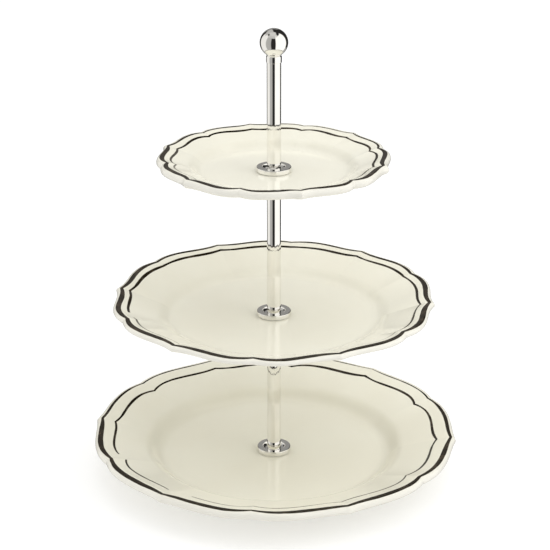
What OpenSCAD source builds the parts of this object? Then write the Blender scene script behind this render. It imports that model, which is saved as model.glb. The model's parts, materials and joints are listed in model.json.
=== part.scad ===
// Three-tier cake stand: three scalloped plates on a rod that screws together tier by tier.
// Z is up. The origin is the centre of the ring that the bottom plate stands on.
// Plain cylinders stand for the screw threads, with a running clearance in the nuts.

/* [Plates] */
// Mean radius of the bottom plate
bottom_r = 134; // [125:1:150]
// Mean radius of the middle plate
middle_r = 115.4; // [105:0.2:122]
// Mean radius of the top plate
top_r = 81.5; // [75:0.5:95]
// Height of the bottom plate's painted edge line above its well
bottom_rise = 18.6; // [15:0.1:22]
// Height of the middle plate's painted edge line above its well
middle_rise = 15.3; // [13:0.1:19]
// Height of the top plate's painted edge line above its well
top_rise = 11.7; // [11:0.1:15]
// Thickness of the bottom and middle plates under the well
floor_t = 4.5; // [4:0.1:6]
// Thickness of the top plate under the well
top_floor_t = 4; // [3.5:0.1:5]
// Height of the bottom plate's foot ring
bottom_foot_h = 5.5; // [5:0.1:8]
// Height of the middle plate's foot ring
middle_foot_h = 3; // [2:0.1:5]
// Height of the top plate's foot ring
top_foot_h = 2.5; // [2:0.1:4]

/* [Scalloped edge] */
// Number of brackets round each plate
brackets = 6; // [4:2:8]
// Bottom plate: rise of the points, rise of the lobes and depth of the notches
bottom_scallop = [1.7, 1.7, 2]; // [0.5:0.1:4]
// Middle plate: rise of the points, rise of the lobes and depth of the notches
middle_scallop = [2.4, 3.4, 2.2]; // [0.5:0.1:4]
// Top plate: rise of the points, rise of the lobes and depth of the notches
top_scallop = [2.3, 1.9, 2.8]; // [0.5:0.1:4]
// Direction of a point on the bottom and middle plates
lower_turn = -7; // [-30:1:30]
// Direction of a point on the top plate
top_turn = -17; // [-30:1:30]

/* [Rods] */
// Outer diameter of the rods
rod_d = 10; // [9.5:0.5:11]
// Length of the lower and middle rods
rod_length = 101.3; // [90:0.1:140]
// Length of the handle's rod
handle_length = 79.3; // [60:0.1:110]
// Diameter of the screwed studs
stud_d = 6; // [5:0.5:6]
// Number of turns that free a rod, at one millimetre of lift a turn
free_turns = 8; // [5:1:9]

/* [Collars and knob] */
// Outer diameter of the cupped collar on each plate
collar_d = 24.8; // [22:0.2:30]
// Height of a collar
collar_h = 3.2; // [2.8:0.1:5]
// Diameter of the knob's ball
ball_d = 19.6; // [18:0.1:26]

/* [Hidden] */
$fn = 96;
rod_r = rod_d / 2;
stud_r = stud_d / 2;
thread_r = stud_r + 0.05;      // bore of a nut, with running clearance
clear_r = stud_r + 0.3;        // bore of a washer, a gasket or a collar
plate_bore_r = stud_r + 1;     // drilled hole in a plate
tube_wall = 1;
nut_length = 14;               // threaded bush pressed into the end of a rod
engaged = free_turns + 0.5;    // thread held in the rod above each collar
anchored = 10;                 // thread locked into the rod below each plate
seat_t = 1.4;                  // floor of a collar, which a rod stands on
gasket_t = 0.6;
washer_t = 1.2;
washer_r = 9;
base_washer_t = 1;
bevel = 0.3;

// Levels of the wells, of the rods' seats and of the rods' upper ends
bottom_z = bottom_foot_h + floor_t;
lower_seat = bottom_z + gasket_t + seat_t;
lower_end = lower_seat + rod_length;
middle_z = lower_end + washer_t + gasket_t + floor_t;
middle_seat = middle_z + gasket_t + seat_t;
middle_end = middle_seat + rod_length;
top_z = middle_end + washer_t + gasket_t + top_floor_t;
handle_seat = top_z + gasket_t + seat_t;
handle_end = handle_seat + handle_length;

// The knob: a ferrule caps the rod and carries the ball, whose short neck ends in a flat
ferrule_r = rod_r + 0.45;
ferrule_skirt = 2.8;
ferrule_neck = 1.9;
neck_r = rod_r + 0.05;
ball_r = ball_d / 2;
ball_z = handle_end + 1.12 * ball_r;
ball_bore = 7;

// ---- Plates ----

// Where the dip beside a point and the crest of a lobe lie, from a point (0) to a notch (1)
dip_at = 0.22;
crest_at = 0.74;
// Sections taken from a point to the next notch, chosen to catch every dip and crest
stations = [0, 0.1, dip_at, 0.4, 0.57, crest_at, 0.87, 1];
half_bracket = 180 / brackets;
last = len(stations) - 1;
section_angles = [
    for (k = [0 : brackets - 1])
        for (i = [-last + 1 : last])
            half_bracket * (2 * k + sign(i) * stations[abs(i)])];

// Bracket contour: a sharp point with hollow flanks, then a round lobe that ends in a sharp notch
function bracket(x, s) =
    x < dip_at ? s[0] * pow(1 - x / dip_at, 2)
    : x < crest_at ? s[1] * (1 - cos(180 * (x - dip_at) / (crest_at - dip_at))) / 2
    : s[1] - s[2] * pow((x - crest_at) / (1 - crest_at), 2);
function bracket_mean(s) =
    s[0] * dip_at / 3 + s[1] * (crest_at - dip_at) / 2 + (s[1] - s[2] / 3) * (1 - crest_at);
function fold(a) = abs(a - 2 * half_bracket * round(a / (2 * half_bracket))) / half_bracket;
function edge_offset(a, s) = bracket(fold(a), s) - bracket_mean(s);

function bezier(p, t) =
    pow(1 - t, 3) * p[0] + 3 * t * pow(1 - t, 2) * p[1]
    + 3 * t * t * (1 - t) * p[2] + pow(t, 3) * p[3];

line_inset = 4;                // from the painted edge line to the edge
line_band = 2.2;               // level band inside the painted edge line
lip_a = 2.8;                   // half the width of the rolled lip
foot_w = 2.5;

// Half section of a plate as [radius, height, share of the scallop], from the bore outward
// over the top, round the lip and back along the underside. The well is at height 0.
function plate_section(edge_r, rise, well_r, cove, slope, lip_t, base_t, foot_r, foot_h) =
    let (
        line_r = edge_r - line_inset,
        shoulder_r = well_r + cove,
        band_r = line_r - line_band,
        band_z = rise - 0.2,
        shoulder_z = band_z - tan(slope) * (band_r - shoulder_r),
        curve = [[well_r, 0], [well_r + 0.5 * cove, 0],
                 [shoulder_r - 0.45 * cove, shoulder_z - 0.45 * cove * tan(slope)],
                 [shoulder_r, shoulder_z]],
        lip_r = edge_r - lip_a,
        lip_z = rise + 0.2 - lip_t / 2,
        inner = plate_bore_r - 0.5)
    concat(
        [[inner, 0, 0]],
        [for (i = [0 : 4]) let (p = bezier(curve, i / 4)) [p.x, p.y, i / 16]],
        [[band_r, band_z, 1], [line_r, rise, 1]],
        [for (i = [0 : 4]) [lip_r + lip_a * sin(45 * i), lip_z + lip_t / 2 * cos(45 * i), 1]],
        [[line_r - 8, rise - 8 * tan(slope) - base_t + 0.3, 0.8],
         [shoulder_r + 1, shoulder_z - base_t, 0.2],
         [foot_r + foot_w / 2 + 1, -base_t - 0.5, 0],
         [foot_r + foot_w / 2, -base_t - foot_h, 0],
         [foot_r - foot_w / 2, -base_t - foot_h, 0],
         [foot_r - foot_w / 2 - 1, -base_t, 0],
         [inner, -base_t, 0]]);

// Sweeps a half section round the bracket contour, then drills the hole for the stud
module plate(section, scallop, base_t) {
    rings = len(section_angles);
    count = len(section);
    points = [
        for (a = section_angles)
            for (p = section)
                let (r = p[0] + p[2] * edge_offset(a, scallop)) [r * cos(a), r * sin(a), p[1]]];
    faces = [
        for (i = [0 : rings - 1])
            for (j = [0 : count - 1])
                let (i2 = (i + 1) % rings, j2 = (j + 1) % count)
                [i * count + j, i * count + j2, i2 * count + j2, i2 * count + j]];
    difference() {
        polyhedron(points, faces);
        translate([0, 0, -base_t - 1]) cylinder(r = plate_bore_r, h = base_t + 2);
    }
}

module bottom_plate() {
    color("ivory") translate([0, 0, bottom_z]) rotate(lower_turn)
        plate(plate_section(edge_r = bottom_r, rise = bottom_rise, well_r = 0.59 * bottom_r,
                            cove = 18, slope = 16, lip_t = 6.4, base_t = floor_t,
                            foot_r = 0.605 * bottom_r, foot_h = bottom_foot_h),
              bottom_scallop, floor_t);
}

module middle_plate() {
    color("ivory") translate([0, 0, middle_z]) rotate(lower_turn)
        plate(plate_section(edge_r = middle_r, rise = middle_rise, well_r = 0.61 * middle_r,
                            cove = 15, slope = 21, lip_t = 4.6, base_t = floor_t,
                            foot_r = 0.58 * middle_r, foot_h = middle_foot_h),
              middle_scallop, floor_t);
}

module top_plate() {
    color("ivory") translate([0, 0, top_z]) rotate(top_turn)
        plate(plate_section(edge_r = top_r, rise = top_rise, well_r = 0.6 * top_r,
                            cove = 12, slope = 19, lip_t = 6.2, base_t = top_floor_t,
                            foot_r = 0.5 * top_r, foot_h = top_foot_h),
              top_scallop, top_floor_t);
}

// ---- Washers, gaskets and collars ----

// Flat ring with bevelled edges, standing on height z
module ring(z, r, bore_r, t) {
    e = min(bevel, t / 4);
    translate([0, 0, z]) rotate_extrude()
        polygon([[bore_r, 0], [r - e, 0], [r, e], [r, t - e], [r - e, t], [bore_r, t]]);
}

module gasket(z, r) { color("gainsboro") ring(z, r, clear_r, gasket_t); }
module washer(z, r, t) { color("silver") ring(z, r, clear_r, t); }

// Cupped collar: a rod stands in the dish, and the flat underside presses the plate
module collar(well_z) {
    r = collar_d / 2;
    cup_r = r - 4;
    seat_r = rod_r + 0.4;
    round_r = 0.7;
    dish = [for (i = [0 : 6])
        [seat_r + (cup_r - seat_r) * sin(15 * i), seat_t + (collar_h - seat_t) * (1 - cos(15 * i))]];
    rim = [for (i = [0 : 6])
        [r - round_r + round_r * sin(15 * i), collar_h - round_r + round_r * cos(15 * i)]];
    color("silver") translate([0, 0, well_z + gasket_t]) rotate_extrude()
        polygon(concat([[clear_r, seat_t]], dish, rim, [[r, bevel], [r - bevel, 0], [clear_r, 0]]));
}

module base_gasket() { gasket(bottom_foot_h - gasket_t, washer_r); }
module base_washer() { washer(bottom_foot_h - gasket_t - base_washer_t, washer_r, base_washer_t); }
module bottom_collar_gasket() { gasket(bottom_z, collar_d / 2 - 0.6); }
module middle_collar_gasket() { gasket(middle_z, collar_d / 2 - 0.6); }
module top_collar_gasket() { gasket(top_z, collar_d / 2 - 0.6); }
module bottom_collar() { collar(bottom_z); }
module middle_collar() { collar(middle_z); }
module top_collar() { collar(top_z); }
module middle_support_washer() { washer(lower_end, washer_r, washer_t); }
module top_support_washer() { washer(middle_end, washer_r, washer_t); }
module middle_support_gasket() { gasket(lower_end + washer_t, washer_r); }
module top_support_gasket() { gasket(middle_end + washer_t, washer_r); }

// ---- Rods, nuts and studs ----

// Polished tube from height z, with a bevel at each end
module rod(z, length) {
    color("silver") translate([0, 0, z]) rotate_extrude()
        polygon([[rod_r - tube_wall, 0], [rod_r - bevel, 0], [rod_r, bevel],
                 [rod_r, length - bevel], [rod_r - bevel, length], [rod_r - tube_wall, length]]);
}

// Threaded bush pressed into a rod's end
module nut(z) {
    color("darkgray") translate([0, 0, z]) difference() {
        cylinder(r = rod_r - tube_wall, h = nut_length);
        translate([0, 0, -1]) cylinder(r = thread_r, h = nut_length + 2);
    }
}

// Screwed pin between two heights, bevelled at both ends
module stud(z_low, z_high) {
    e = 0.5;
    color("gray") translate([0, 0, z_low]) rotate_extrude()
        polygon([[0, 0], [stud_r - e, 0], [stud_r, e], [stud_r, z_high - z_low - e],
                 [stud_r - e, z_high - z_low], [0, z_high - z_low]]);
}

module lower_rod() { rod(lower_seat, rod_length); }
module lower_rod_bottom_nut() { nut(lower_seat); }
module lower_rod_top_nut() { nut(lower_end - nut_length); }
module lower_stud() { stud(lower_end - anchored, middle_seat + engaged); }
module middle_rod() { rod(middle_seat, rod_length); }
module middle_rod_bottom_nut() { nut(middle_seat); }
module middle_rod_top_nut() { nut(middle_end - nut_length); }
module upper_stud() { stud(middle_end - anchored, handle_seat + engaged); }
module handle_rod() { rod(handle_seat, handle_length); }
module handle_bottom_nut() { nut(handle_seat); }
module handle_top_nut() { nut(handle_end - nut_length); }
module knob_stud() { stud(handle_end - anchored, handle_end + ferrule_neck + ball_bore - 0.5); }

// Pan-head screw from below, driven with a hexagon key
module base_screw() {
    head_r = 5.5;
    head_h = 2.6;
    socket_across = 4;
    head_top = bottom_foot_h - gasket_t - base_washer_t;
    dome = [for (i = [0 : 4]) [head_r - 1.2 + 1.2 * cos(90 - 22.5 * i), 1.2 - 1.2 * sin(90 - 22.5 * i)]];
    color("gray") difference() {
        union() {
            stud(head_top - 1, lower_seat + engaged);
            translate([0, 0, head_top - head_h]) rotate_extrude()
                polygon(concat([[0, 0]], dome, [[head_r, head_h], [0, head_h]]));
        }
        translate([0, 0, head_top - head_h - 1])
            cylinder(d = socket_across / cos(30), h = 1 + 1.8, $fn = 6);
    }
}

// ---- Knob ----

module knob_ferrule() {
    color("silver") translate([0, 0, handle_end]) rotate_extrude()
        polygon([[rod_r, -ferrule_skirt], [ferrule_r - 0.2, -ferrule_skirt],
                 [ferrule_r, -ferrule_skirt + 0.2], [ferrule_r, ferrule_neck - 0.6],
                 [neck_r, ferrule_neck], [thread_r, ferrule_neck], [thread_r, 0], [rod_r, 0]]);
}

module knob_ball() {
    flat_z = handle_end + ferrule_neck;
    join_r = 0.66 * ball_r;
    join_z = ball_z - sqrt(ball_r * ball_r - join_r * join_r);
    color("silver") difference() {
        union() {
            translate([0, 0, ball_z]) sphere(r = ball_r);
            translate([0, 0, flat_z]) cylinder(r1 = neck_r, r2 = join_r, h = join_z - flat_z);
        }
        translate([-ball_r, -ball_r, flat_z - ball_d]) cube([ball_d, ball_d, ball_d]);
        translate([0, 0, flat_z - 1]) cylinder(r = thread_r, h = ball_bore + 1);
    }
}

base_screw();
base_washer();
base_gasket();
bottom_plate();
bottom_collar_gasket();
bottom_collar();
lower_rod();
lower_rod_bottom_nut();
lower_rod_top_nut();
lower_stud();
middle_support_washer();
middle_support_gasket();
middle_plate();
middle_collar_gasket();
middle_collar();
middle_rod();
middle_rod_bottom_nut();
middle_rod_top_nut();
upper_stud();
top_support_washer();
top_support_gasket();
top_plate();
top_collar_gasket();
top_collar();
handle_rod();
handle_bottom_nut();
handle_top_nut();
knob_stud();
knob_ferrule();
knob_ball();
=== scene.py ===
import json
import math

import bpy
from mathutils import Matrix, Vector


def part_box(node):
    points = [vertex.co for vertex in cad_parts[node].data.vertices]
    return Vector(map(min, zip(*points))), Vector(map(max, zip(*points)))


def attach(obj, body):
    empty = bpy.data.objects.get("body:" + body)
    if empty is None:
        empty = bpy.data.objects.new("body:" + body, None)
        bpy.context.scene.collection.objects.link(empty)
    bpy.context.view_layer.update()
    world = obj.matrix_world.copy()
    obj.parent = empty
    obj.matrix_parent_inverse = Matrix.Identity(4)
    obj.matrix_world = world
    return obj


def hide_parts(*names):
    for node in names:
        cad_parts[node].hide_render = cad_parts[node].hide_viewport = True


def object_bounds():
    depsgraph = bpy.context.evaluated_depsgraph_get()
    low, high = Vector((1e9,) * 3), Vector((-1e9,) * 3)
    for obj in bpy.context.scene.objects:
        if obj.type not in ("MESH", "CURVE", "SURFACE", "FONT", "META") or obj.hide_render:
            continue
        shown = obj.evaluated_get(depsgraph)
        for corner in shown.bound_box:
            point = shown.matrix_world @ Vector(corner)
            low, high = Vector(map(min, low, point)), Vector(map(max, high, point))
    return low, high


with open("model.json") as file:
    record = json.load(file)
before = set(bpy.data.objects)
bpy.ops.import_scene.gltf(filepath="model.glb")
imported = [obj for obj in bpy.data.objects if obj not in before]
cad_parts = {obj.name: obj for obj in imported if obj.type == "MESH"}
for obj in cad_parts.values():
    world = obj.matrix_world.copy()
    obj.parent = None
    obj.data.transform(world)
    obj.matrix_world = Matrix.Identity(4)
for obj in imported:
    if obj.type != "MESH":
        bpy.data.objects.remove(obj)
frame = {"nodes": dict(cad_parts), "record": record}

# Lengths in the tables are in millimetres, as in the design. Everything that reaches Blender is in metres.
MM = 0.001
cad_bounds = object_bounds()
node_body = {n: body for body, nodes in frame["record"]["behaviour"]["bodies"].items() for n in nodes}
node_slot = {s["node"]: s["material_slot"] for s in frame["record"]["subparts"]}


# ---- Mesh helpers ----

def make_object(name, points, faces, smooth_below=40):
    """A mesh object from points in metres, smooth except where faces meet more sharply than the angle."""
    mesh = bpy.data.meshes.new(name)
    mesh.from_pydata(points, [], faces)
    mesh.validate()
    for polygon in mesh.polygons:
        polygon.use_smooth = True
    mesh.set_sharp_from_angle(angle=math.radians(smooth_below))
    piece = bpy.data.objects.new(name, mesh)
    bpy.context.scene.collection.objects.link(piece)
    return piece


def sweep(name, rings, segments=96, loop=False, smooth_below=40):
    """Turns rings of (radius, height) in metres about the z axis. A radius may be a function of the angle,
    and a radius of 0 closes the surface with a pole. With loop, the last ring joins the first."""
    points, starts = [], []
    for radius, z in rings:
        starts.append(len(points))
        if radius == 0:
            points.append((0, 0, z))
            continue
        for i in range(segments):
            a = 2 * math.pi * i / segments
            r = radius(a) if callable(radius) else radius
            points.append((r * math.cos(a), r * math.sin(a), z))
    faces = []
    pairs = [(k, k + 1) for k in range(len(rings) - 1)] + ([(len(rings) - 1, 0)] if loop else [])
    for low, high in pairs:
        pole_low, pole_high = rings[low][0] == 0, rings[high][0] == 0
        for i in range(segments):
            j = (i + 1) % segments
            a = starts[low] + (0 if pole_low else i)
            b = starts[low] + (0 if pole_low else j)
            c = starts[high] + (0 if pole_high else j)
            d = starts[high] + (0 if pole_high else i)
            faces.append([p for n, p in enumerate((a, b, c, d)) if p not in (a, b, c, d)[:n]])
    return make_object(name, points, faces, smooth_below)


def rounded(corners, radius, steps=5):
    """A section's corners, each replaced with a small curve. A corner is (r, z), or (r, z, own radius)."""
    out = []
    for k, corner in enumerate(corners):
        own = corner[2] if len(corner) > 2 else radius
        here = corner[:2]
        before, after = corners[k - 1][:2], corners[(k + 1) % len(corners)][:2]
        if own == 0:
            out.append(here)
            continue
        ends = []
        for other in (before, after):
            far = math.dist(here, other)
            cut = min(own, 0.45 * far)
            ends.append([h + (o - h) * cut / far for h, o in zip(here, other)])
        for i in range(steps + 1):
            t = i / steps
            out.append(tuple((1 - t) ** 2 * p + 2 * t * (1 - t) * h + t * t * q
                             for p, h, q in zip(ends[0], here, ends[1])))
    return out


def finish_piece(piece, node, material):
    """The piece stands for a CAD node, moves with its body and takes the finish it is given."""
    piece.data.materials.append(material)
    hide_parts(node)
    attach(piece, node_body[node])


def float_attribute(piece, name, values):
    piece.data.attributes.new(name, "FLOAT", "POINT").data.foreach_set("value", values)


# ---- Shader helpers ----

class Nodes:
    """Adds shader nodes to a material or a world and links them in one call each."""

    def __init__(self, owner):
        owner.use_nodes = True
        self.tree = owner.node_tree
        self.tree.nodes.clear()

    def add(self, kind, **settings):
        node = self.tree.nodes.new(kind)
        for key, value in settings.items():
            setattr(node, key, value)
        return node

    def join(self, source, target):
        self.tree.links.new(source, target)

    def put(self, socket, value):
        if isinstance(value, bpy.types.NodeSocket):
            self.join(value, socket)
        else:
            socket.default_value = value

    def math(self, operation, *values):
        node = self.add("ShaderNodeMath", operation=operation)
        for socket, value in zip(node.inputs, values):
            self.put(socket, value)
        return node.outputs[0]

    def ease(self, value, low, high, to_low=0.0, to_high=1.0):
        """Smoothly maps low..high to to_low..to_high."""
        node = self.add("ShaderNodeMapRange", interpolation_type="SMOOTHSTEP")
        for socket, v in zip(node.inputs, (value, low, high, to_low, to_high)):
            self.put(socket, v)
        return node.outputs[0]

    def mix(self, share, a, b):
        node = self.add("ShaderNodeMix", data_type="RGBA")
        for socket, v in ((node.inputs[0], share), (node.inputs[6], a), (node.inputs[7], b)):
            self.put(socket, v)
        return node.outputs[2]

    def noise(self, coords, scale, detail=3.0):
        node = self.add("ShaderNodeTexNoise")
        self.join(coords, node.inputs["Vector"])
        node.inputs["Scale"].default_value = scale
        node.inputs["Detail"].default_value = detail
        return node.outputs[0]

    def attribute(self, name):
        return self.add("ShaderNodeAttribute", attribute_name=name).outputs["Fac"]

    def bump(self, height, strength, distance, normal=None):
        node = self.add("ShaderNodeBump")
        node.inputs["Strength"].default_value = strength
        node.inputs["Distance"].default_value = distance
        self.join(height, node.inputs["Height"])
        if normal is not None:
            self.join(normal, node.inputs["Normal"])
        return node.outputs[0]


def new_shader(name):
    """A material with a Principled shader on its output, its node helper, and object coordinates."""
    material = bpy.data.materials.new(name)
    nodes = Nodes(material)
    shader = nodes.add("ShaderNodeBsdfPrincipled")
    nodes.join(shader.outputs[0], nodes.add("ShaderNodeOutputMaterial").inputs["Surface"])
    coords = nodes.add("ShaderNodeTexCoord").outputs["Object"]
    return material, nodes, shader, coords


# ---- Materials ----

GLAZE = (0.845, 0.825, 0.715, 1)
GLAZE_WARM = (0.825, 0.80, 0.685, 1)
# The lip's colour stands partly for its thinner glaze and partly for painted shade, darkening the rolled lip
LIP_GLAZE_AND_SHADE = (0.82, 0.80, 0.725, 1)
BISCUIT = (0.70, 0.63, 0.50, 1)
PAINT = (0.015, 0.010, 0.004, 1)
PAINT_THIN = (0.06, 0.045, 0.028, 1)


def glaze_material():
    """Ivory glaze with two brushed lines. The mesh says how far each point is from the middle of each line
    and how wide the stroke is there, in millimetres, and how much paint the inner line holds, as a share."""
    material, n, shader, coords = new_shader("ivory_glaze")
    cloud = n.noise(coords, 14.0, 3.0)
    grain = n.noise(coords, 420.0, 4.0)
    streak = n.noise(coords, 90.0, 3.0)
    body = n.mix(n.ease(cloud, 0.35, 0.65), GLAZE, GLAZE_WARM)
    # Towards the edge the glaze turns to the lip's colour: thinner glaze, with painted shade on the lip
    body = n.mix(n.attribute("lip"), body, LIP_GLAZE_AND_SHADE)

    ragged = n.math("MULTIPLY", n.math("SUBTRACT", streak, 0.5), 0.55)
    masks = []
    for line in ("outer", "inner"):
        away = n.math("ABSOLUTE", n.attribute(f"{line}_gap"))
        over = n.math("ADD", n.math("SUBTRACT", away, n.attribute(f"{line}_half")), ragged)
        masks.append(n.ease(over, -0.16, 0.16, 1.0, 0.0))
    mask = n.math("MAXIMUM", masks[0], n.math("MULTIPLY", masks[1], n.attribute("inner_paint")))
    paint = n.mix(n.ease(n.math("ADD", streak, n.math("MULTIPLY", grain, 0.3)), 0.6, 0.95), PAINT, PAINT_THIN)
    glazed = n.mix(mask, body, paint)
    bare = n.attribute("bare")
    n.join(n.mix(bare, glazed, BISCUIT), shader.inputs["Base Color"])

    shine = n.ease(n.noise(coords, 38.0, 2.0), 0.3, 0.7, 0.10, 0.17)
    n.join(n.math("MAXIMUM", shine, n.math("MULTIPLY", bare, 0.85)), shader.inputs["Roughness"])
    shader.inputs["IOR"].default_value = 1.5
    n.join(n.ease(mask, 0.0, 1.0, 0.5, 0.22), shader.inputs["Specular IOR Level"])
    waves = n.bump(n.noise(coords, 30.0, 2.0), 0.25, 0.0006)
    pores = n.bump(grain, 0.12, 0.0002, waves)
    n.join(n.bump(mask, 0.25, 0.0001, pores), shader.inputs["Normal"])
    return material


def metal_material(name, colour, rough_low, rough_high, waviness):
    """Polished or turned metal: slight waves from polishing, and faint wear in its roughness."""
    material, n, shader, coords = new_shader(name)
    wear = n.noise(coords, 160.0, 5.0)
    tint = [c * 0.93 for c in colour[:3]] + [1]
    n.join(n.mix(n.ease(n.noise(coords, 45.0, 2.0), 0.3, 0.7), colour, tint), shader.inputs["Base Color"])
    n.join(n.ease(wear, 0.3, 0.75, rough_low, rough_high), shader.inputs["Roughness"])
    shader.inputs["Metallic"].default_value = 1.0
    n.join(n.bump(n.noise(coords, 55.0, 1.0), waviness, 0.0003), shader.inputs["Normal"])
    return material


def seal_material():
    """Milky, slightly translucent soft plastic of the gaskets."""
    material, n, shader, coords = new_shader("milky_seal")
    cloud = n.noise(coords, 220.0, 3.0)
    n.join(n.mix(cloud, (0.80, 0.79, 0.74, 1), (0.70, 0.69, 0.65, 1)), shader.inputs["Base Color"])
    n.join(n.ease(cloud, 0.3, 0.7, 0.38, 0.55), shader.inputs["Roughness"])
    shader.inputs["Subsurface Weight"].default_value = 0.2
    shader.inputs["Subsurface Radius"].default_value = (0.001, 0.001, 0.001)
    n.join(n.bump(n.noise(coords, 700.0, 2.0), 0.2, 0.0001), shader.inputs["Normal"])
    return material


glaze = glaze_material()
polished = metal_material("polished_nickel", (0.90, 0.89, 0.865, 1), 0.02, 0.05, 0.03)
turned_steel = metal_material("bright_steel", (0.62, 0.61, 0.60, 1), 0.18, 0.32, 0.2)
seal = seal_material()


# ---- Plates ----

# Where the dip beside a point and the crest of a lobe lie, from a point (0) to a notch (1)
DIP_AT = 0.22
CREST_AT = 0.74
HALF_BRACKET = 30
LINE_INSET = 4.0
WARP_TOWARDS = math.radians(-108)
LINE_BAND = 2.2
LIP_HALF_WIDTH = 2.8
FOOT_WIDTH = 2.5
BORE_R = 4.0
# How far a point is said to be from a line on the side that has no paint
UNPAINTED = 9.0
# The outer line runs closer to the lip's crown at the front
FRONT_SHIFT = 0.5
HAIR = 0.05 * MM

# Each plate's sizes are those of the design, in millimetres and degrees. A scallop is the rise of the points,
# the rise of the lobes and the depth of the notches, and warp is how far the rim is drawn in at the front.
# Strokes are the widths of the twelve brush strokes of a line, each from a point to a notch or back, starting
# from the point at turn. Paint is how much colour each stroke of the inner line holds, and gaps are where it
# breaks off, as an angle and half a width.
PLATES = {
    "bottom_plate": dict(
        edge_r=134, rise=18.6, well=0.59, cove=18, slope=16, lip_t=6.4, base_t=4.5, foot=0.605, foot_h=5.5,
        scallop=(1.7, 1.7, 2.0), turn=-7, warp=3.2, inner_inset=10.5, inner_scallop=(2.4, 2.4, 3.4),
        outer_strokes=(2.5, 1.2, 1.1, 1.2, 1.3, 2.1, 3.8, 4.0, 3.9, 3.7, 3.9, 3.5),
        inner_strokes=(1.9, 2.1, 2.6, 2.2, 2.0, 2.0, 1.8, 1.6, 1.4, 1.5, 1.6, 1.7),
        inner_paint=(1, 1, 1, 1, 1, 1, 1, 0.95, 0.85, 0.9, 0.9, 0.95), gaps=((208, 2.5), (243, 5))),
    "middle_plate": dict(
        edge_r=115.4, rise=15.3, well=0.61, cove=15, slope=21, lip_t=4.6, base_t=4.5, foot=0.58, foot_h=3,
        scallop=(2.4, 3.4, 2.2), turn=-7, warp=0, inner_inset=6.4, inner_scallop=(2.2, 2.6, 1.4),
        outer_strokes=(3.4, 2.4, 2.1, 2.2, 2.6, 3.4, 3.8, 4.2, 4.3, 4.2, 4.2, 4.0),
        inner_strokes=(1.7, 1.9, 2.1, 2.2, 2.3, 2.4, 1.9, 1.2, 0.9, 0.6, 0.9, 1.5),
        inner_paint=(1, 1, 1, 1, 1, 1, 1, 0.8, 0.5, 0.2, 0.5, 0.95), gaps=((205, 3),)),
    "top_plate": dict(
        edge_r=81.5, rise=11.7, well=0.60, cove=12, slope=19, lip_t=6.2, base_t=4, foot=0.5, foot_h=2.5,
        scallop=(2.3, 1.9, 2.8), turn=-17, warp=0, inner_inset=6.2, inner_scallop=(1.7, 2.2, 3.0),
        outer_strokes=(3.2, 1.6, 1.2, 1.4, 1.7, 2.0, 3.4, 3.8, 3.8, 3.8, 3.8, 3.7),
        inner_strokes=(1.8, 1.8, 2.0, 2.1, 2.1, 1.9, 1.7, 1.3, 0.9, 0.5, 0.9, 1.6),
        inner_paint=(1, 1, 1, 1, 1, 1, 0.95, 0.7, 0.4, 0.2, 0.5, 0.95), gaps=()),
}


def bracket_offset(degrees, scallop):
    """How far the bracket contour stands out from its mean radius: a sharp point with hollow flanks, then a
    round lobe that ends in a sharp notch. Measured from a point."""
    point, lobe, notch = scallop
    x = abs((degrees + HALF_BRACKET) % (2 * HALF_BRACKET) - HALF_BRACKET) / HALF_BRACKET
    if x < DIP_AT:
        here = point * (1 - x / DIP_AT) ** 2
    elif x < CREST_AT:
        here = lobe * (1 - math.cos(math.pi * (x - DIP_AT) / (CREST_AT - DIP_AT))) / 2
    else:
        here = lobe - notch * ((x - CREST_AT) / (1 - CREST_AT)) ** 2
    mean = point * DIP_AT / 3 + lobe * (CREST_AT - DIP_AT) / 2 + (lobe - notch / 3) * (1 - CREST_AT)
    return here - mean


def bezier(p, t):
    weights = ((1 - t) ** 3, 3 * t * (1 - t) ** 2, 3 * t * t * (1 - t), t ** 3)
    return [sum(w * q[k] for w, q in zip(weights, p)) for k in range(2)]


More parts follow.
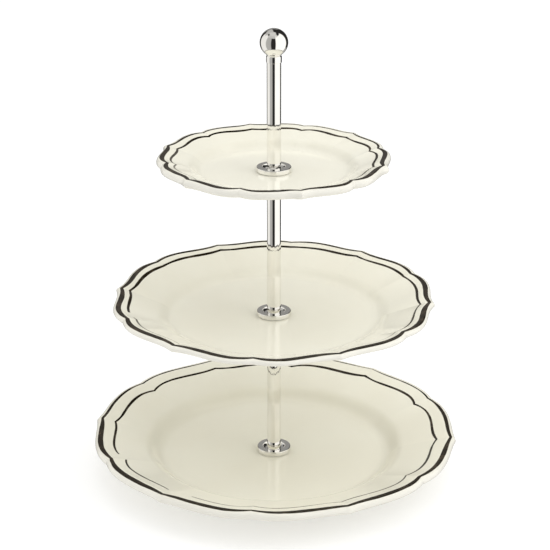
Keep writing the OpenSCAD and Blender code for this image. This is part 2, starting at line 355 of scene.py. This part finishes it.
def plate_section(p):
    """A plate's half section as (radius, height, share of the scallop, side). The well is at height 0, and
    the side is 1 on the top, 0 on the underside and -1 on the bare face of the foot."""
    line_r = p["edge_r"] - LINE_INSET
    band_r, band_z = line_r - LINE_BAND, p["rise"] - 0.2
    fall = math.tan(math.radians(p["slope"]))
    well_r = p["well"] * p["edge_r"]
    shoulder_r = well_r + p["cove"]
    shoulder_z = band_z - fall * (band_r - shoulder_r)
    lip_r = p["edge_r"] - LIP_HALF_WIDTH
    lip_z = p["rise"] + 0.2 - p["lip_t"] / 2
    foot_out = p["foot"] * p["edge_r"] + FOOT_WIDTH / 2
    foot_in = foot_out - FOOT_WIDTH
    under, ground = -p["base_t"], -p["base_t"] - p["foot_h"]
    curve = ((well_r, 0), (well_r + 0.5 * p["cove"], 0),
             (shoulder_r - 0.45 * p["cove"], shoulder_z - 0.45 * p["cove"] * fall), (shoulder_r, shoulder_z))
    out = [(BORE_R, -0.3, 0, 1), (BORE_R + 0.3, 0, 0, 1)]
    out += [(r, 0, 0, 1) for r in (8, 14, 0.35 * well_r, 0.55 * well_r, 0.75 * well_r, 0.9 * well_r)]
    out += [(*bezier(curve, i / 24), i / 96, 1) for i in range(25)]
    marly = 40
    for i in range(1, marly):
        t = i / marly
        out.append((shoulder_r + t * (band_r - shoulder_r), shoulder_z + t * (band_z - shoulder_z),
                    0.25 + 0.75 * t, 1))
    bend = ((out[-1][0], out[-1][1]), (band_r, band_z), (band_r, band_z), (line_r, p["rise"]))
    out += [(*bezier(bend, i / 8), 1, 1) for i in range(1, 9)]
    arc = 24
    for i in range(arc + 1):
        a = math.pi * i / arc
        side = 1 if i <= arc / 2 else 0
        out.append((lip_r + LIP_HALF_WIDTH * math.sin(a), lip_z + p["lip_t"] / 2 * math.cos(a), 1, side))
    out += [(line_r - 4, p["rise"] - 4 * fall - p["base_t"] + 0.1, 0.9, 0),
            (line_r - 8, p["rise"] - 8 * fall - p["base_t"] + 0.3, 0.8, 0),
            (shoulder_r + 1, shoulder_z - p["base_t"], 0.2, 0)]
    flank = ((shoulder_r + 1, shoulder_z - p["base_t"]), (shoulder_r - 6, shoulder_z - p["base_t"] - 2),
             (foot_out + 5, under - 0.3), (foot_out + 1, under - 0.5))
    out += [(*bezier(flank, i / 12), 0.2 - i / 60, 0) for i in range(1, 13)]
    out += [(foot_out + 0.3, under - 0.45 * p["foot_h"], 0, 0), (foot_out, ground + 0.5, 0, 0),
            (foot_out - 0.4, ground, 0, -1), (foot_in + 0.4, ground, 0, -1), (foot_in, ground + 0.5, 0, 0),
            (foot_in - 0.3, under - 0.4 * p["foot_h"], 0, 0), (foot_in - 1, under, 0, 0)]
    out += [(r, under, 0, 0) for r in (0.7 * foot_in, 0.35 * foot_in, 14, 8, BORE_R + 0.3)]
    out.append((BORE_R, under + 0.3, 0, 0))
    return out


def stroke(degrees, widths):
    """The value of the brush stroke that crosses an angle, eased towards its neighbours at both ends."""
    at = (degrees % 360) / HALF_BRACKET
    k, t = int(at) % len(widths), at % 1
    blend = 0.5 * max(0.0, 1 - min(t, 1 - t) / 0.25)
    neighbour = widths[(k + (1 if t > 0.5 else -1)) % len(widths)]
    return (1 - blend) * widths[k] + blend * neighbour


def swell(degrees):
    """A stroke is thin where the brush lands and leaves, and full in the middle."""
    t = (degrees / HALF_BRACKET) % 1
    return 0.72 + 0.36 * math.sin(math.pi * t) ** 0.8


def wander(degrees, seed):
    """The hand's drift off the line, in millimetres."""
    a = math.radians(degrees)
    return (0.16 * math.sin(5 * a + seed) + 0.11 * math.sin(11 * a + 2.3 * seed)
            + 0.07 * math.sin(23 * a + 4.1 * seed))


def drawn_in(point, p):
    """A plate fired slightly out of round: its rim is drawn in at the front by the plate's warp."""
    x, y, z = point
    r = math.hypot(x, y)
    well_r = p["well"] * p["edge_r"]
    rim = max(0.0, (r - well_r) / (p["edge_r"] - well_r))
    front = max(0.0, math.cos(math.atan2(y, x) - WARP_TOWARDS))
    pull = p["warp"] * min(1.0, rim) * front
    return x * (1 - pull / r), y * (1 - pull / r), z


def plate(node, p, seed):
    """A scalloped plate, with its painted lines as values on its points."""
    section = plate_section(p)
    steps = 720
    low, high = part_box(node)
    points, shares = [], {k: [] for k in (
        "outer_gap", "outer_half", "inner_gap", "inner_half", "inner_paint", "lip", "bare")}
    line_r = p["edge_r"] - LINE_INSET
    for i in range(steps):
        local = 360 * i / steps
        a = math.radians(local + p["turn"])
        out = bracket_offset(local, p["scallop"])
        outer_at = line_r + out + FRONT_SHIFT * max(0.0, -math.sin(a)) + wander(local, seed)
        inner_at = (line_r - p["inner_inset"] + bracket_offset(local, p["inner_scallop"])
                    + 0.8 * wander(local, seed + 3))
        outer_half = 0.5 * stroke(local, p["outer_strokes"]) * swell(local)
        inner_half = 0.5 * stroke(local, p["inner_strokes"]) * swell(local + 4)
        inner_paint = stroke(local, p["inner_paint"])
        if any(abs(local - centre) < half for centre, half in p["gaps"]):
            inner_paint = 0
        for r, z, share, side in section:
            radius = r + share * out
            points.append((radius * math.cos(a), radius * math.sin(a), z))
            shares["outer_gap"].append(radius - outer_at if side == 1 else UNPAINTED)
            shares["inner_gap"].append(radius - inner_at if side == 1 else UNPAINTED)
            shares["outer_half"].append(outer_half)
            shares["inner_half"].append(inner_half)
            shares["inner_paint"].append(inner_paint)
            # How far out on the lip a point lies: it carries the lip's thinner glaze and its painted shade
            shares["lip"].append(min(1.0, max(0.0, (r - line_r) / LINE_INSET)))
            shares["bare"].append(1.0 if side == -1 else 0.0)
    # The visual plate fills the CAD plate's box, a hair inside it, but for its drawn-in front
    placed = []
    spans = [(min(q[k] for q in points), max(q[k] for q in points)) for k in range(3)]
    for q in points:
        q = drawn_in(q, p)
        placed.append(tuple(
            low[k] + HAIR + (q[k] - spans[k][0]) / (spans[k][1] - spans[k][0]) * (high[k] - low[k] - 2 * HAIR)
            for k in range(3)))
    count = len(section)
    faces = []
    for i in range(steps):
        here, there = i * count, (i + 1) % steps * count
        for j in range(count):
            k = (j + 1) % count
            faces.append((here + j, there + j, there + k, here + k))
    piece = make_object(f"glazed_{node}", placed, faces, 50)
    for name, values in shares.items():
        float_attribute(piece, name, values)
    finish_piece(piece, node, glaze)


for seed, (node, sizes) in enumerate(PLATES.items()):
    plate(node, sizes, 1.7 * seed + 0.6)


# ---- Turned metal pieces and gaskets ----

COLLAR_FLOOR = 1.4 * MM
COLLAR_RIM = 4 * MM
COLLAR_SEAT_R = 5.4 * MM
KNOB_NECK_R = 5.05 * MM
THREAD_PITCH = 1.0 * MM
THREAD_DEPTH = 0.55 * MM


def inner_radius(node):
    """The radius of a CAD node's bore: the least distance of its points from the axis."""
    return min(math.hypot(v.co.x, v.co.y) for v in frame["nodes"][node].data.vertices)


def tube(node):
    """A rod: a tube with softly rounded ends."""
    low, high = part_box(node)
    corners = [(inner_radius(node), low.z), (high.x, low.z), (high.x, high.z), (inner_radius(node), high.z)]
    piece = sweep(f"polished_{node}", rounded(corners, 0.35 * MM), 128, loop=True)
    finish_piece(piece, node, polished)


def flat_ring(node, material, edge):
    """A washer or a gasket."""
    low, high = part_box(node)
    bore = inner_radius(node)
    corners = [(bore, low.z), (high.x, low.z), (high.x, high.z), (bore, high.z)]
    finish_piece(sweep(f"turned_{node}", rounded(corners, edge), 96, loop=True), node, material)


def collar(node):
    """A cupped collar: flat underside, a rounded rim and a dish with a rolled edge, where the rod stands."""
    low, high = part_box(node)
    outer, bore = high.x, inner_radius(node)
    seat_z = low.z + COLLAR_FLOOR
    cup, seat = outer - COLLAR_RIM, COLLAR_SEAT_R
    rise = high.z - seat_z
    dish = []
    steps = 14
    for i in range(steps + 1):
        a = math.pi / 2 * i / steps
        dish.append((seat + (cup - seat) * math.sin(a), seat_z + rise * (1 - math.cos(a)), 0))
    corners = ([(bore, seat_z)] + dish[:-1] + [(cup, high.z, 0.15 * MM), (outer, high.z, 0.7 * MM)]
               + [(outer, low.z, 0.3 * MM), (bore, low.z)])
    finish_piece(sweep(f"cupped_{node}", rounded(corners, 0.1 * MM), 128, loop=True), node, polished)


def thread_wave(turn):
    """A thread's height over one turn of the helix, from 0 at the root to 1 at the crest, both flattened."""
    t = turn % 1
    return min(1.0, max(0.0, 2.4 * (0.5 - abs(t - 0.5)) - 0.1))


def threaded(crest_r, low_z, high_z, chamfer=0.6 * MM):
    """Rings of a screw thread between two heights, chamfered at both ends."""
    per_turn = 8
    count = round((high_z - low_z) / THREAD_PITCH * per_turn)

    def ring(z):
        def radius(a):
            r = crest_r - THREAD_DEPTH * (1 - thread_wave(z / THREAD_PITCH - a / (2 * math.pi)))
            return min(r, crest_r - chamfer + (high_z - z), crest_r - chamfer + (z - low_z))
        return radius
    return [(ring(low_z + (high_z - low_z) * k / count), low_z + (high_z - low_z) * k / count)
            for k in range(count + 1)]


def stud(node):
    low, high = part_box(node)
    rings = threaded(high.x, low.z, high.z)
    piece = sweep(f"threaded_{node}", [(0, low.z)] + rings + [(0, high.z)], 48)
    finish_piece(piece, node, turned_steel)


def nut(node):
    """A bush pressed into a rod's end, threaded through."""
    low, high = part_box(node)
    bore = inner_radius(node)
    per_turn = 6
    count = round((high.z - low.z) / THREAD_PITCH * per_turn)

    def ring(z):
        return lambda a: bore + 0.4 * MM * thread_wave(z / THREAD_PITCH - a / (2 * math.pi))
    inside = [(ring(high.z - (high.z - low.z) * k / count), high.z - (high.z - low.z) * k / count)
              for k in range(count + 1)]
    edge = 0.2 * MM
    outside = [(high.x - edge, low.z), (high.x, low.z + edge),
               (high.x, high.z - edge), (high.x - edge, high.z)]
    finish_piece(sweep(f"bush_{node}", outside + inside, 48, loop=True), node, turned_steel)


def base_screw():
    """Pan-head screw with a hexagon socket, seen only from below."""
    low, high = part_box("base_screw")
    head_r, head_h, socket_across, socket_deep = high.x, 2.6 * MM, 4 * MM, 1.8 * MM
    shank_r = 3 * MM

    def hexagon(a):
        return socket_across / 2 / math.cos((a % (math.pi / 3)) - math.pi / 6)
    dome = [(head_r - 1.2 * MM + 1.2 * MM * math.sin(math.pi / 2 * i / 8),
             low.z + 1.2 * MM - 1.2 * MM * math.cos(math.pi / 2 * i / 8)) for i in range(9)]
    rings = [(0, low.z + socket_deep + 0.5 * MM), (1.2 * MM, low.z + socket_deep),
             (hexagon, low.z + socket_deep), (hexagon, low.z + 0.15 * MM),
             (lambda a: hexagon(a) + 0.15 * MM, low.z)]
    rings += dome + [(head_r, low.z + head_h - 0.15 * MM), (head_r - 0.15 * MM, low.z + head_h)]
    rings += threaded(shank_r, low.z + head_h, high.z) + [(0, high.z)]
    finish_piece(sweep("socket_base_screw", rings, 96), "base_screw", turned_steel)


def ferrule():
    """The cap between the handle's rod and the ball, with a soft shoulder under the ball's neck."""
    low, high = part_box("knob_ferrule")
    rod_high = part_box("handle_rod")[1]
    bore = inner_radius("knob_ferrule")
    shoulder = high.z - 0.6 * MM
    corners = [(rod_high.x, low.z), (high.x, low.z, 0.3 * MM), (high.x, shoulder, 0.5 * MM),
               (KNOB_NECK_R, high.z, 0.15 * MM), (bore, high.z), (bore, rod_high.z), (rod_high.x, rod_high.z)]
    finish_piece(sweep("shouldered_knob_ferrule", rounded(corners, 0.08 * MM), 128, loop=True),
                 "knob_ferrule", polished)


def ball():
    """The knob's ball: a sphere that flows into a short hollow neck, with a plain blind hole below."""
    low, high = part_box("knob_ball")
    r = (high.y - low.y) / 2
    centre = high.z - r
    join = math.asin(0.66)
    join_r, join_z = r * math.sin(join), centre - r * math.cos(join)
    reach = 1.6 * MM
    neck = ((KNOB_NECK_R, low.z), (join_r - reach * math.cos(join), join_z - reach * math.sin(join)),
            (join_r - reach * math.cos(join), join_z - reach * math.sin(join)), (join_r, join_z))
    bore_r, depth = 3.05 * MM, 7 * MM
    steps = 72
    rings = [(0, low.z + depth), (bore_r - 0.1 * MM, low.z + depth), (bore_r, low.z + depth - 0.1 * MM),
             (bore_r, low.z)]
    rings += [tuple(bezier(neck, i / 10)) for i in range(10)]
    rings += [(r * math.sin(join + (math.pi - join) * i / steps),
               centre - r * math.cos(join + (math.pi - join) * i / steps)) for i in range(steps)]
    finish_piece(sweep("ball_knob", rings + [(0, high.z)], 144), "knob_ball", polished)


for rod_node in ("lower_rod", "middle_rod", "handle_rod"):
    tube(rod_node)
for collar_node in ("bottom_collar", "middle_collar", "top_collar"):
    collar(collar_node)
for node in node_slot:
    if node.endswith("washer"):
        flat_ring(node, turned_steel, 0.25 * MM)
    elif node.endswith("gasket"):
        flat_ring(node, seal, 0.15 * MM)
    elif node.endswith("stud"):
        stud(node)
    elif node.endswith("nut"):
        nut(node)
base_screw()
ferrule()
ball()


# ---- Studio ----

# What polished metal mirrors, as panels given by azimuth and elevation in degrees, each over the ones before.
# Azimuths are counted from the front of the room or from its back, positive to the right in both.
PANELS = (
    # counted from, azimuth from, to, elevation from, to, brightness
    ("back", -70, 70, -100, -26, 0.42),
    ("front", -72, -24, -60, 47, 0.48),
    ("front", -130, -68, -60, 50, 0.95),
    ("front", 15, 114, -60, 58, 1.2),
    ("front", 10, 42, 50, 76, 0.9),
    ("front", -75, 16, 43, 80, 0.6),
    ("back", -76, -8, 34, 80, 0.55),
    ("back", -25, 12, 8, 34, 0.3),
    ("front", -130, 60, 62, 95, 0.7),
    ("front", -180, 180, 77, 95, 0.72),
    ("front", -180, 180, -95, -46, 0.6),
)


def studio_world():
    """A white studio, dimmer low down at the front. What polished metal mirrors is the studio's own layout:
    bright windows to both sides, the dark front of the room with the camera in it, a dark back wall and soft
    panels overhead."""
    world = bpy.data.worlds.new("studio")
    bpy.context.scene.world = world
    n = Nodes(world)
    split = n.add("ShaderNodeSeparateXYZ")
    n.join(n.add("ShaderNodeTexCoord").outputs["Generated"], split.inputs[0])
    x, y, z = split.outputs
    azimuth = {"front": n.math("DEGREES", n.math("ARCTAN2", x, n.math("MULTIPLY", y, -1.0))),
               "back": n.math("DEGREES", n.math("ARCTAN2", x, y))}
    elevation = n.math("DEGREES", n.math("ARCSINE", z))

    def between(value, low, high, soft=4.0):
        return n.math("MULTIPLY", n.ease(value, low - soft, low + soft),
                      n.ease(value, high - soft, high + soft, 1.0, 0.0))
    room = (0.025, 0.024, 0.023, 1)
    for side, left, right, bottom, top, level in PANELS:
        inside = between(elevation, bottom, top)
        if right - left < 360:
            inside = n.math("MULTIPLY", inside, between(azimuth[side], left, right))
        room = n.mix(inside, room, (level, 0.985 * level, 0.95 * level, 1))
    mirrored, white = n.add("ShaderNodeBackground"), n.add("ShaderNodeBackground")
    n.join(room, mirrored.inputs["Color"])
    white.inputs["Color"].default_value = (1, 1, 1, 1)
    low_front = n.math("MULTIPLY", n.ease(z, 0.25, 0.6, 1.0, 0.0), n.ease(y, -0.9, -0.3, 1.0, 0.0))
    n.join(n.ease(low_front, 0.0, 1.0, 1.08, 0.26), white.inputs["Strength"])
    backdrop = n.add("ShaderNodeBackground")
    backdrop.inputs["Color"].default_value = (1, 1, 1, 1)
    path = n.add("ShaderNodeLightPath")
    seen, lit = n.add("ShaderNodeMixShader"), n.add("ShaderNodeMixShader")
    choices = ((lit, "Is Glossy Ray", white, mirrored), (seen, "Is Camera Ray", lit, backdrop))
    for mixer, share, off, on in choices:
        n.join(path.outputs[share], mixer.inputs[0])
        n.join(off.outputs[0], mixer.inputs[1])
        n.join(on.outputs[0], mixer.inputs[2])
    n.join(seen.outputs[0], n.add("ShaderNodeOutputWorld").inputs["Surface"])


def soft_light(name, place, size, watts, colour=(1, 1, 1)):
    """A square soft box aimed at the middle of the stand. It lights without being mirrored."""
    light = bpy.data.lights.new(name, "AREA")
    light.size = size
    light.energy = watts
    light.color = colour
    lamp = bpy.data.objects.new(name, light)
    bpy.context.scene.collection.objects.link(lamp)
    lamp.location = place
    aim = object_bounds()
    middle = (aim[0] + aim[1]) / 2
    lamp.rotation_euler = (middle - lamp.location).to_track_quat("-Z", "Y").to_euler()
    lamp.visible_glossy = False
    lamp.visible_camera = False


def floor():
    """A pale, matt floor, slightly mottled, that glows a little like a backlit sweep: the glow is painted
    light that lifts the shadows on it.
    """
    half = 5.0
    z = cad_bounds[0].z
    piece = make_object("floor", [(-half, -half, z), (half, -half, z), (half, half, z), (-half, half, z)],
                        [(0, 1, 2, 3)])
    material, n, shader, coords = new_shader("pale_floor")
    n.join(n.mix(n.noise(coords, 3.0, 2.0), (0.60, 0.60, 0.60, 1), (0.62, 0.62, 0.62, 1)),
           shader.inputs["Base Color"])
    shader.inputs["Roughness"].default_value = 0.9
    shader.inputs["Specular IOR Level"].default_value = 0.1
    # Painted light: the floor glows so that the stand's shadows on it stay faint
    shader.inputs["Emission Color"].default_value = (1, 1, 1, 1)
    shader.inputs["Emission Strength"].default_value = 0.4
    piece.data.materials.append(material)
    piece.visible_glossy = False


def camera():
    """The view of a shopper's eye on the stand: from the front, well above it, through a long lens."""
    data = bpy.data.cameras.new("camera")
    data.lens = 112.25
    data.sensor_width = 36
    data.shift_x = 0.0019
    eye = bpy.data.objects.new("camera", data)
    bpy.context.scene.collection.objects.link(eye)
    eye.location = (0, -1.148, 0.5999)
    eye.rotation_euler = (math.radians(90 - 21.38), 0, 0)
    bpy.context.scene.camera = eye


studio_world()
soft_light("key_right", (1.2, -0.5, 1.2), 1.2, 5.5)
soft_light("overhead", (0.2, 0.0, 1.8), 1.4, 4)
floor()
camera()
bpy.context.scene.view_settings.view_transform = "Standard"
